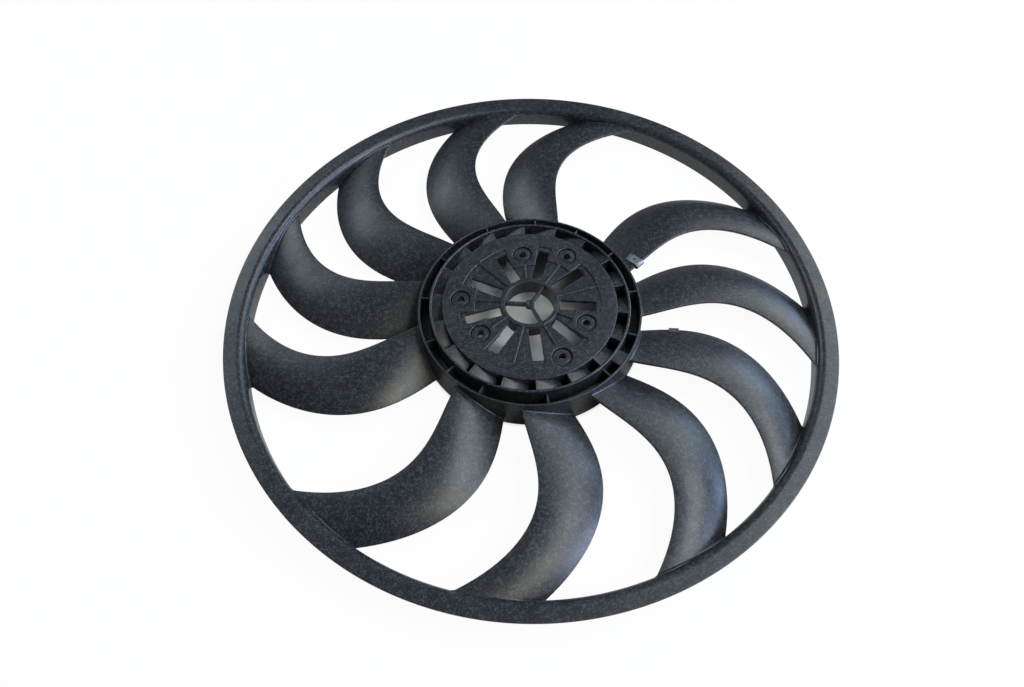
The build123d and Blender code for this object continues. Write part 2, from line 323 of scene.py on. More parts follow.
def plate(name: str, outlines: Sequence[Sequence[Point2]], low_z: float, high_z: float,
          edge_r: float) -> Piece:
    """Flat plate with openings and rounded edges, from a filled curve.

    Args:
        name: Name of the piece.
        outlines: The outer outline and those of its openings, in millimetres.
        low_z: Height of its underside.
        high_z: Height of its top.
        edge_r: Radius of its edges.

    Returns:
        The new object.
    """
    curve = bpy.data.curves.new(name, "CURVE")
    curve.dimensions = "2D"
    curve.fill_mode = "BOTH"
    curve.bevel_depth = edge_r * MM
    curve.bevel_resolution = 2
    curve.offset = -edge_r * MM
    curve.extrude = ((high_z - low_z) / 2 - edge_r) * MM
    for outline in outlines:
        spline = curve.splines.new("POLY")
        spline.points.add(len(outline) - 1)
        for point, (x, y) in zip(spline.points, outline):
            point.co = (x * MM, y * MM, 0, 1)
        spline.use_cyclic_u = True
    carrier = link(name, curve)
    mesh = evaluated(carrier)
    bpy.data.objects.remove(carrier)
    mesh.transform(Matrix.Translation((0, 0, (low_z + high_z) / 2 * MM)))
    face_outwards(mesh, merge=True)
    return link(name, mesh)


def sector_outline(inner_r: float, outer_r: float, middle_deg: float, span_deg: float,
                   steps: int = 8) -> list[Point2]:
    """Outline of an annular sector in plan.

    Args:
        inner_r: Inner radius.
        outer_r: Outer radius.
        middle_deg: Angle of its middle, in degrees.
        span_deg: Its width, in degrees.
        steps: Straight pieces along each arc.

    Returns:
        Points of the outline.
    """
    angles = [middle_deg + span_deg * (k / steps - 0.5) for k in range(steps + 1)]
    outer = [polar(outer_r, a) for a in angles]
    inner = [polar(inner_r, a) for a in reversed(angles)]
    return outer + inner


def bar_outline(inner_r: float, outer_r: float, width: float) -> list[Point2]:
    """Outline of a straight bar along +X in plan."""
    half = width / 2
    return [(inner_r, -half), (outer_r, -half), (outer_r, half), (inner_r, half)]


def circle_outline(radius: float, centre: Point2 = (0.0, 0.0), steps: int = 64) -> list[Point2]:
    """Outline of a circle in plan."""
    points = [polar(radius, a) for a in even_angles(steps, 0)]
    return [(centre[0] + x, centre[1] + y) for x, y in points]


def slot_outline(inner_r: float, outer_r: float, width: float, deg: float,
                 corner_r: float) -> list[Point2]:
    """Outline of a radial slot with rounded corners, turned to an angle."""
    corners = [(x, y, corner_r) for x, y in bar_outline(inner_r, outer_r, width)]
    turn = Matrix.Rotation(math.radians(deg), 2)
    return [tuple(turn @ Vector(p)) for p in rounded(corners)]


# ---- Geometry Nodes: copies turned about the fan axis ----


def add_node(tree: Tree, kind: str, links: dict | None = None,
             **settings: object) -> bpy.types.Node:
    """Adds a node with its settings and links.

    Args:
        tree: Node tree that takes the node.
        kind: Node type.
        links: Value or output socket for each input, by name or index.
        settings: Properties of the node.

    Returns:
        The new node.
    """
    node = tree.nodes.new(kind)
    for key, value in settings.items():
        setattr(node, key, value)
    for key, value in (links or {}).items():
        if isinstance(value, Socket):
            tree.links.new(value, node.inputs[key])
        else:
            node.inputs[key].default_value = value
    return node


def math_node(tree: Tree, operation: str, first: Socket,
              second: Socket) -> Socket:
    """Result of an operation on two values."""
    return add_node(tree, "ShaderNodeMath", {0: first, 1: second}, operation=operation).outputs[0]


def turned_copies_tree() -> Tree:
    """Tree that sets a copy of a template at each point, turned about Z by the point's angle.

    Returns:
        The node group, with inputs Places, Template, Start and Finish.
    """
    tree = bpy.data.node_groups.new("turned_copies", "GeometryNodeTree")
    inputs = {"Places": "Geometry", "Template": "Object", "Start": "Float", "Finish": "Material"}
    for name, kind in inputs.items():
        tree.interface.new_socket(name, in_out="INPUT", socket_type=f"NodeSocket{kind}")
    tree.interface.new_socket("Copies", in_out="OUTPUT", socket_type="NodeSocketGeometry")
    given = add_node(tree, "NodeGroupInput")
    template = add_node(tree, "GeometryNodeObjectInfo", {"Object": given.outputs["Template"]})
    turn = add_node(tree, "GeometryNodeInputNamedAttribute", {"Name": "turn"}, data_type="FLOAT")
    total = math_node(tree, "ADD", turn.outputs["Attribute"], given.outputs["Start"])
    spin_angle = add_node(tree, "ShaderNodeCombineXYZ", {"Z": total})
    copies = add_node(tree, "GeometryNodeInstanceOnPoints", {
        "Points": given.outputs["Places"],
        "Instance": template.outputs["Geometry"],
        "Rotation": spin_angle.outputs[0],
    })
    real = add_node(tree, "GeometryNodeRealizeInstances", {"Geometry": copies.outputs[0]})
    dressed = add_node(tree, "GeometryNodeSetMaterial", {
        "Geometry": real.outputs[0], "Material": given.outputs["Finish"],
    })
    add_node(tree, "NodeGroupOutput", {"Copies": dressed.outputs[0]})
    return tree


def turned_copies(name: str, template: Piece, angles: Iterable[float],
                  finish: Material, start_deg: float = 0.0) -> Piece:
    """Copies of a template about the fan axis as one plain mesh.

    Args:
        name: Name of the piece.
        template: Object that is copied, and then removed.
        angles: Turn of each copy, in degrees.
        finish: Material of the copies.
        start_deg: Angle added to each turn, in degrees.

    Returns:
        The new object.
    """
    turns = [math.radians(a) for a in angles]
    places = bpy.data.meshes.new(name)
    places.from_pydata([(0, 0, 0)] * len(turns), [], [])
    places.attributes.new("turn", "FLOAT", "POINT").data.foreach_set("value", turns)
    carrier = link(name, places)
    tree = bpy.data.node_groups.get("turned_copies") or turned_copies_tree()
    modifier = carrier.modifiers.new("copies", "NODES")
    modifier.node_group = tree
    values = {"Template": template, "Start": math.radians(start_deg), "Finish": finish}
    for item in tree.interface.items_tree:
        if item.name in values:
            modifier[item.identifier] = values[item.name]
    mesh = evaluated(carrier)
    carrier.modifiers.remove(modifier)
    bpy.data.objects.remove(template)
    bpy.data.objects.remove(carrier)
    return link(name, mesh)


def settle(piece: Piece, finish: Material, node: str,
           sharp_deg: float = SHARP_DEG) -> None:
    """Shades a finished piece, gives it its material and hands it to the frame.

    Args:
        piece: The piece.
        finish: Its material.
        node: CAD node that it stands for.
        sharp_deg: Angle past which an edge stays sharp, in degrees.
    """
    mesh = piece.data
    mesh.materials.clear()
    mesh.materials.append(finish)
    mesh.polygons.foreach_set("material_index", [0] * len(mesh.polygons))
    mesh.polygons.foreach_set("use_smooth", [True] * len(mesh.polygons))
    mesh.set_sharp_from_angle(angle=math.radians(sharp_deg))
    weighted = piece.modifiers.new("even shading", "WEIGHTED_NORMAL")
    weighted.keep_sharp = True
    weighted.weight = AREA_WEIGHT
    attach(piece, "root")
    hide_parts(node)
    log.info("%s: %d faces", piece.name, len(mesh.polygons))


# ---- Finishes ----


def linear(code: str) -> tuple[float, float, float, float]:
    """Linear colour of an sRGB hex code such as #1a2b3c."""
    parts = [int(code[i : i + 2], 16) / 255 for i in (1, 3, 5)]
    low = [p / 12.92 if p <= 0.04045 else ((p + 0.055) / 1.055) ** 2.4 for p in parts]
    return low[0], low[1], low[2], 1.0


def noise(tree: Tree, where: Socket, size_mm: float, detail: float,
          roughness: float = 0.5) -> Socket:
    """Value of a noise whose cells are a size in millimetres."""
    return add_node(tree, "ShaderNodeTexNoise", {
        "Vector": where, "Scale": 1 / (size_mm * MM), "Detail": detail, "Roughness": roughness,
    }).outputs[0]


def ramp(tree: Tree, value: Socket, stops: Sequence[float],
         codes: Sequence[str]) -> Socket:
    """Colour of a value on a ramp.

    Args:
        tree: Node tree that takes the ramp.
        value: Value that is looked up.
        stops: Rising places of the colours.
        codes: sRGB hex code of each colour.

    Returns:
        The colour.
    """
    node = add_node(tree, "ShaderNodeValToRGB", {"Fac": value})
    elements = node.color_ramp.elements
    for k in (0, -1):
        elements[k].position = stops[k]
        elements[k].color = linear(codes[k])
    for stop, code in list(zip(stops, codes))[1:-1]:
        elements.new(stop).color = linear(code)
    return node.outputs["Color"]


class Finish:
    """Finish that makes its own material; each kind adds its surface."""

    name: str

    def surface(self, tree: Tree, where: Socket) -> Socket:
        """Shader of the surface, from coordinates on the object."""
        raise NotImplementedError

    def build(self) -> Material:
        """Makes the material.

        Returns:
            The material.
        """
        material = bpy.data.materials.new(self.name)
        material.use_nodes = True
        tree = material.node_tree
        tree.nodes.clear()
        where = add_node(tree, "ShaderNodeTexCoord").outputs["Object"]
        add_node(tree, "ShaderNodeOutputMaterial", {"Surface": self.surface(tree, where)})
        return material


@dataclass(frozen=True)
class MouldedNylon(Finish):
    """Glass-filled nylon 6, injection moulded black.

    The glass at the skin spreads the sheen wide and breaks it into a fine salt-and-pepper grain,
    and the flow of the melt leaves cloudy patches of slightly different gloss. Real fibres are
    about 0.3 mm long, too fine to show, so the grain is drawn a few times coarser.
    """

    name: str = "moulded_glass_filled_nylon"
    colours: tuple[str, ...] = ("#0f1013", "#1f2125", "#3c3f45")
    stops: tuple[float, ...] = (0.40, 0.51, 0.62)
    roughness: tuple[float, float] = (0.30, 0.46)
    cloud_range: tuple[float, float] = (0.3, 0.7)
    grain_mm: float = 1.4
    blotch_mm: float = 3.6
    cloud_mm: float = 38.0
    grain_lift_mm: float = 0.035
    blotch_share: float = 0.3
    ior: float = 1.53

    def surface(self, tree: Tree, where: Socket) -> Socket:
        """Dark skin with grain in its colour and relief, and clouds in its gloss."""
        grain = noise(tree, where, self.grain_mm, 2.0, 0.7)
        blotch = noise(tree, where, self.blotch_mm, 2.0)
        cloud = noise(tree, where, self.cloud_mm, 3.0, 0.6)
        mottle = add_node(tree, "ShaderNodeMix", {0: self.blotch_share, 2: grain, 3: blotch})
        gloss = add_node(tree, "ShaderNodeMapRange", {
            "Value": cloud, "From Min": self.cloud_range[0], "From Max": self.cloud_range[1],
            "To Min": self.roughness[0], "To Max": self.roughness[1],
        })
        bump = add_node(tree, "ShaderNodeBump", {
            "Height": mottle.outputs[0], "Distance": self.grain_lift_mm * MM, "Strength": 1.0,
        })
        return add_node(tree, "ShaderNodeBsdfPrincipled", {
            "Base Color": ramp(tree, mottle.outputs[0], self.stops, self.colours),
            "Roughness": gloss.outputs[0], "IOR": self.ior, "Normal": bump.outputs[0],
        }).outputs[0]


@dataclass(frozen=True)
class ZincSteel(Finish):
    """Zinc-plated spring steel: grey metal whose plating has gone dull and slightly blotched.

    The plating's fine relief is drawn coarser than the real one, so that it shows.
    """

    name: str = "zinc_plated_spring_steel"
    colours: tuple[str, ...] = ("#6a6c70", "#999b9e")
    stops: tuple[float, ...] = (0.35, 0.65)
    roughness: float = 0.6
    blotch_mm: float = 2.2
    scratch_mm: float = 0.35
    scratch_lift_mm: float = 0.01
    scratch_strength: float = 0.8

    def surface(self, tree: Tree, where: Socket) -> Socket:
        """Blotched metal with a fine relief."""
        blotch = noise(tree, where, self.blotch_mm, 3.0)
        bump = add_node(tree, "ShaderNodeBump", {
            "Height": noise(tree, where, self.scratch_mm, 2.0),
            "Distance": self.scratch_lift_mm * MM, "Strength": self.scratch_strength,
        })
        return add_node(tree, "ShaderNodeBsdfPrincipled", {
            "Base Color": ramp(tree, blotch, self.stops, self.colours), "Metallic": 1.0,
            "Roughness": self.roughness, "Normal": bump.outputs[0],
        }).outputs[0]


@dataclass(frozen=True)
class StudioPaper(Finish):
    """Matte background paper: white to the eye all round, plain where the hub shades it, and with a
    painted shadow of the fan in the glow that reflections show.
    """

    name: str = "matte_background_paper"
    colour: str = "#f1f1ef"
    glow: float = 0.95
    hub_edge_mm: tuple[float, float] = (80.0, 88.0)
    # Painted shadow: the glow that reflections see rises from none to full across these distances
    # from the axis, as if the fan shaded the floor.
    fan_shade_mm: tuple[float, float] = (110.0, 260.0)

    def glow_beyond(self, tree: Tree, radius: Socket,
                    fade_mm: tuple[float, float]) -> Socket:
        """Share of glow that rises between two distances from the fan axis."""
        return add_node(tree, "ShaderNodeMapRange", {
            "Value": radius, "From Min": fade_mm[0] * MM, "From Max": fade_mm[1] * MM,
            "To Min": 0.0, "To Max": self.glow,
        }).outputs[0]

    def surface(self, tree: Tree, where: Socket) -> Socket:
        """Diffuse paper with a glow for camera, glossy and transmission rays; the glow seen in
        reflections fades under the fan as a painted shadow.

        Args:
            tree: The material's tree.
            where: Coordinates on the floor.

        Returns:
            The shader.
        """
        path = add_node(tree, "ShaderNodeLightPath").outputs
        length = add_node(tree, "ShaderNodeVectorMath", {0: where}, operation="LENGTH")
        radius = length.outputs["Value"]
        mirrored = math_node(tree, "MAXIMUM", path["Is Glossy Ray"], path["Is Transmission Ray"])
        seen = self.glow_beyond(tree, radius, self.hub_edge_mm)
        # Painted shadow of the fan in the glow that glossy and transmission rays see.
        reflected = self.glow_beyond(tree, radius, self.fan_shade_mm)
        direct = math_node(tree, "MULTIPLY", path["Is Camera Ray"], seen)
        indirect = math_node(tree, "MULTIPLY", mirrored, reflected)
        paper = add_node(tree, "ShaderNodeBsdfDiffuse", {"Color": linear(self.colour)})
        light = add_node(tree, "ShaderNodeEmission", {"Color": WHITE, "Strength": 1.0})
        return add_node(tree, "ShaderNodeMixShader", {
            0: math_node(tree, "MAXIMUM", direct, indirect),
            1: paper.outputs[0], 2: light.outputs[0],
        }).outputs[0]


# ---- Moulding: what its parts share ----


class Moulded:
    """Part of the one-piece moulding."""

    sharp_deg: ClassVar[float] = SHARP_DEG

    def dress(self, piece: Piece, finish: Material) -> None:
        """Gives a piece of the part its finish."""
        settle(piece, finish, "impeller", self.sharp_deg)


# ---- Ring ----


@dataclass
class OuterRing(Moulded):
    """Shroud ring round the blade tips."""

    sizes: RingSizes = RING
    lip_steps: int = 10
    segments: int = 480

    def build(self) -> Piece:
        """Spins the ring's section with rounded edges.

        Returns:
            The ring.
        """
        s = self.sizes
        outer_wall_r = s.inner_r + s.wall
        under_z = s.top_z - s.wall
        throat = s.mouth_r - s.wall
        corners = [
            (s.inner_r, s.bottom_z, s.edge_r),
            (outer_wall_r, s.bottom_z, s.edge_r),
            (outer_wall_r, under_z, throat),
            (s.outer_r, under_z, s.edge_r),
            (s.outer_r, s.top_z, s.edge_r),
            (s.inner_r, s.top_z, s.mouth_r),
        ]
        return spin("outer_ring", rounded(corners, self.lip_steps), self.segments)


# ---- Blades ----


@dataclass
class Blades(Moulded):
    """Eleven swept blades at uneven pitches, filleted into the skirt and the ring."""

    sharp_deg: ClassVar[float] = 50.0
    pitches_deg: tuple[float, ...] = (28, 49, 28, 32, 28, 28, 41, 35, 35, 28, 28)
    first_deg: float = 11.0
    high_edge_deg: tuple[float, ...] = (-15.5, -10.0, -9.3, -14.7, -24.6)
    low_edge_deg: tuple[float, ...] = (11.3, 11.9, 8.5, 1.0, -9.4)
    high_edge_below_rim: tuple[float, ...] = (5.6, 5.5, 6.2, 7.7, 10.2)
    low_edge_above_base: tuple[float, ...] = (3.7, 7.3, 10.0, 10.4, 8.0)
    thickness: float = 2.4
    camber: float = 3.6
    edge_r: float = 0.6
    root_fillet: float = 1.4
    tip_fillet: float = 1.4
    sink: float = 0.6
    span_rows: int = 30
    fillet_rows: int = 5
    chord_steps: int = 22
    corner_steps: int = 4
    wall_rounds: int = 6

    @property
    def root_r(self) -> float:
        """Radius of the first station."""
        return HUB.rim_inner_r + HUB.skirt_wall / 2

    @property
    def tip_r(self) -> float:
        """Radius of the last station."""
        return RING.inner_r + RING.wall / 2

    def angles(self) -> list[float]:
        """Angle of each blade's reference line, in degrees."""
        found = [self.first_deg]
        for pitch in self.pitches_deg[:-1]:
            found.append(found[-1] + pitch)
        return found

    def along(self, stations: Sequence[float], radius: float) -> float:
        """Smooth value through evenly spaced stations.

        Args:
            stations: Values from root to tip.
            radius: Radius in millimetres.

        Returns:
            The value at the radius.
        """
        share = (radius - self.root_r) / (self.tip_r - self.root_r)
        last = len(stations) - 1
        total = 0.0
        for i, value in enumerate(stations):
            weight = 1.0
            for j in range(last + 1):
                if j != i:
                    weight *= (share * last - j) / (i - j)
            total += value * weight
        return total

    def top(self, radius: float, share: float) -> Vector:
        """Point of the upper face.

        Args:
            radius: Radius in millimetres.
            share: Share of the chord from the high edge (0) to the low edge (1).

        Returns:
            The point in millimetres.
        """
        high = self.along(self.high_edge_deg, radius)
        low = self.along(self.low_edge_deg, radius)
        high_z = HUB.rim_z - self.along(self.high_edge_below_rim, radius)
        low_z = self.along(self.low_edge_above_base, radius)
        z = high_z + (low_z - high_z) * share + 4 * self.camber * share * (1 - share)
        return Vector((*polar(radius, high + (low - high) * share), z))

    def ahead(self, radius: float, share: float) -> Vector:
        """Short step along the chord of the upper face."""
        return self.top(radius, share + SHARE_STEP) - self.top(radius, share - SHARE_STEP)

    def facing(self, radius: float, share: float) -> Vector:
        """Upward normal of the upper face."""
        outward = self.top(radius + RADIUS_STEP, share) - self.top(radius - RADIUS_STEP, share)
        normal = outward.cross(self.ahead(radius, share)).normalized()
        return normal if normal.z > 0 else -normal

    def corner(self, x: float, y: float, from_deg: float, last: bool) -> list[SectionPoint]:
        """Quarter arc of the section, without the end that it shares with a flat side."""
        points = []
        for k in range(self.corner_steps) if last else range(1, self.corner_steps + 1):
            out_x, out_y = polar(1.0, from_deg - 90 * k / self.corner_steps)
            points.append((x + self.edge_r * out_x, y + self.edge_r * out_y, out_x, out_y))
        return points

    def section(self, chord: float) -> list[SectionPoint]:
        """Loop round the blade's section, as a rounded rectangle.

        Args:
            chord: Chord length in millimetres.

        Returns:
            Points of the loop.
        """
        half, r = self.thickness / 2, self.edge_r
        flat, level = chord - 2 * r, half - r
        steps = range(self.chord_steps + 1)
        loop = [(r + flat * k / self.chord_steps, half, 0.0, 1.0) for k in steps]
        loop += self.corner(chord - r, level, 90.0, False)
        loop += self.corner(chord - r, -level, 0.0, True)
        loop += [(chord - r - flat * k / self.chord_steps, -half, 0.0, -1.0) for k in steps]
        loop += self.corner(r, -level, 270.0, False)
        return loop + self.corner(r, level, 180.0, True)

    def rows(self) -> list[Corner]:
        """Stations along the span.

        Returns:
            (share of the span, distance into the span from the nearer wall, swell) of each row.
            A distance is signed: positive from the skirt, negative from the ring.
        """
        root, tip = self.root_fillet, self.tip_fillet
        turns = [math.pi / 2 * k / self.fillet_rows for k in range(self.fillet_rows + 1)]
        arc = [(1 - math.cos(a), 1 - math.sin(a)) for a in turns]
        found = [(0.0, -self.sink, root)]
        found += [(0.0, root * run, root * rise) for run, rise in arc]
        found += [(k / self.span_rows, 0.0, 0.0) for k in range(1, self.span_rows)]
        found += [(1.0, -tip * run, tip * rise) for run, rise in reversed(arc)]
        return found + [(1.0, self.sink, tip)]

    def wall_radii(self, share: float) -> tuple[float, float]:
        """Radii at which a line of the blade meets the skirt and the ring.

        Args:
            share: Share of the chord.

        Returns:
            The two radii in millimetres.
        """
        start, end = self.root_r, self.tip_r
        for _ in range(self.wall_rounds):
            start = HUB.skirt_r(self.top(start, share).z - self.thickness / 2)
            end = RING.wall_r(self.top(end, share).z - self.thickness / 2)
        return start, end

    def build_one(self) -> Piece:
        """Makes one blade on its reference line.

        Returns:
            The blade.
        """
        vertices = []
        rows = self.rows()
        for span_share, shift, swell in rows:
            start, end = self.wall_radii(0.5)
            radius = start + (end - start) * span_share
            chord = math.radians(abs(self.along(self.low_edge_deg, radius)
                                     - self.along(self.high_edge_deg, radius))) * radius
            for along_chord, height, out_x, out_y in self.section(chord):
                share = along_chord / chord
                start, end = self.wall_radii(min(max(share, 0), 1))
                low_r = start + self.root_fillet
                high_r = end - self.tip_fillet
                if span_share == 0:
                    r = start + shift
                elif span_share == 1:
                    r = end + shift
                else:
                    r = low_r + (high_r - low_r) * span_share
                point = self.top(r, share)
                normal = self.facing(r, share)
                place = point + normal * (height - self.thickness / 2 + out_y * swell)
                place += self.ahead(r, share).normalized() * (out_x * swell)
                vertices.append(tuple(place))
        columns = len(vertices) // len(rows)
        return mesh_object("blade", vertices, tube_faces(len(rows), columns, False))

    def build(self, finish: Material) -> Piece:
        """Sets the blade at each pitch, as one mesh."""
        return turned_copies("blades", self.build_one(), self.angles(), finish)


# ---- Hub ----


@dataclass
class HubShell(Moulded):
    """Skirt, rim, channels, ridge and the wall that carries the drive face."""

    sizes: HubSizes = HUB

    def build(self) -> Piece:
        """Spins the shell's section with rounded edges and corners.

        Returns:
            The shell.
        """
        s = self.sizes
        under = s.floor_z - s.floor_thickness
        top = s.face_z - OVERLAP
        corners = [
            (s.skirt_r(0), 0, s.edge_r),
            (s.skirt_r(s.rim_z), s.rim_z, s.edge_r),
            (s.rim_inner_r, s.rim_z, s.edge_r),
            (s.rim_inner_r - s.draft, s.floor_z, s.root_r),
            (s.ridge_outer_r + s.draft, s.floor_z, s.root_r),
            (s.ridge_outer_r, s.face_z, s.ridge_edge_r),
            (s.ridge_inner_r, s.face_z, s.ridge_edge_r),
            (s.ridge_inner_r - s.draft, s.floor_z, s.root_r),
            (s.disc_r, s.floor_z, s.root_r),
            (s.disc_r, top, 0),
            (s.disc_r - s.disc_wall, top, 0),
            (s.disc_r - s.disc_wall, under, s.root_r),
            (s.skirt_r(under) - s.skirt_wall, under, s.root_r),
            (s.skirt_r(0) - s.skirt_wall, 0, s.edge_r),
        ]
        return spin("hub_shell", rounded(corners))


@dataclass
class ChannelVanes(Moulded):
    """Curved vanes of the inner channel and thin ribs of the outer one."""

    blades: Blades
    count: int = 18
    start_deg: float = 12.2
    span_deg: float = 16.0
    edge_drop: float = 0.6
    slope: float = 0.1885
    bend: float = 0.0121
    ramp_steps: int = 10
    rib_thickness: float = 1.4
    rib_drop: float = 0.6
    wide_pitch_deg: float = 40.0
    pad_deg: float = 324.5
    pad_span_deg: float = 8.0
    edge_r: float = 0.35
    rib_edge_r: float = 0.3
    overlap: float = 0.8

    @property
    def outer_span(self) -> Point2:
        """Inner and outer radius of what stands in the outer channel."""
        return HUB.ridge_outer_r - self.overlap, HUB.rim_inner_r + self.overlap

    def ramp_z(self, run: float) -> float:
        """Height of the ramp at a distance round the channel from its sharp edge."""
        return HUB.face_z - self.edge_drop - self.slope * run - self.bend * run**2

    def build_vane(self) -> Piece:
        """Makes one vane, which falls in a curve from its sharp edge to the next window.

        Returns:
            The vane, with its sharp edge on angle zero.
        """
        middle_r = (HUB.disc_r + HUB.ridge_inner_r) / 2
        length = math.radians(self.span_deg) * middle_r
        low_z = HUB.floor_z - self.overlap
        corners = [(0.0, low_z, 0.0), (length, low_z, 0.0)]
        for k in range(self.ramp_steps, -1, -1):
            run = length * k / self.ramp_steps
            corner_r = self.edge_r if k in (0, self.ramp_steps) else 0.0
            corners.append((run, self.ramp_z(run), corner_r))
        outline = rounded(corners)
        radii = (HUB.disc_r - self.overlap, HUB.ridge_inner_r + self.overlap)
        vertices = [
            (*polar(r, math.degrees(run / middle_r)), z) for r in radii for run, z in outline
        ]
        return mesh_object("vane", vertices, tube_faces(len(radii), len(outline), False))

    def build_vanes(self, finish: Material) -> Piece:
        """Sets the vane all round the inner channel."""
        turns = even_angles(self.count, 0)
        return turned_copies("channel_vanes", self.build_vane(), turns, finish, self.start_deg)

    def rib_angles(self) -> list[float]:
        """Angles of the thin ribs: one behind each blade and one in each wide gap."""
        middle = (self.blades.high_edge_deg[0] + self.blades.low_edge_deg[0]) / 2
        found = [angle + middle for angle in self.blades.angles()]
        for angle, pitch in zip(self.blades.angles(), self.blades.pitches_deg):
            if pitch > self.wide_pitch_deg:
                found.append(angle + middle + pitch / 2)
        return found

    def block(self, name: str, outline: Sequence[Point2]) -> Piece:
        """Block of the outer channel, from its plan outline."""
        low_z, high_z = HUB.floor_z - self.overlap, HUB.rim_z - self.rib_drop
        return plate(name, [outline], low_z, high_z, self.rib_edge_r)

    def build_ribs(self, finish: Material) -> Piece:
        """Makes the thin ribs of the outer channel."""
        rib = self.block("rib", bar_outline(*self.outer_span, self.rib_thickness))
        return turned_copies("channel_ribs", rib, self.rib_angles(), finish)

    def build_pad(self) -> Piece:
        """Makes the plain pad of the outer channel."""
        outline = sector_outline(*self.outer_span, self.pad_deg, self.pad_span_deg)
        return self.block("marking_pad", outline)


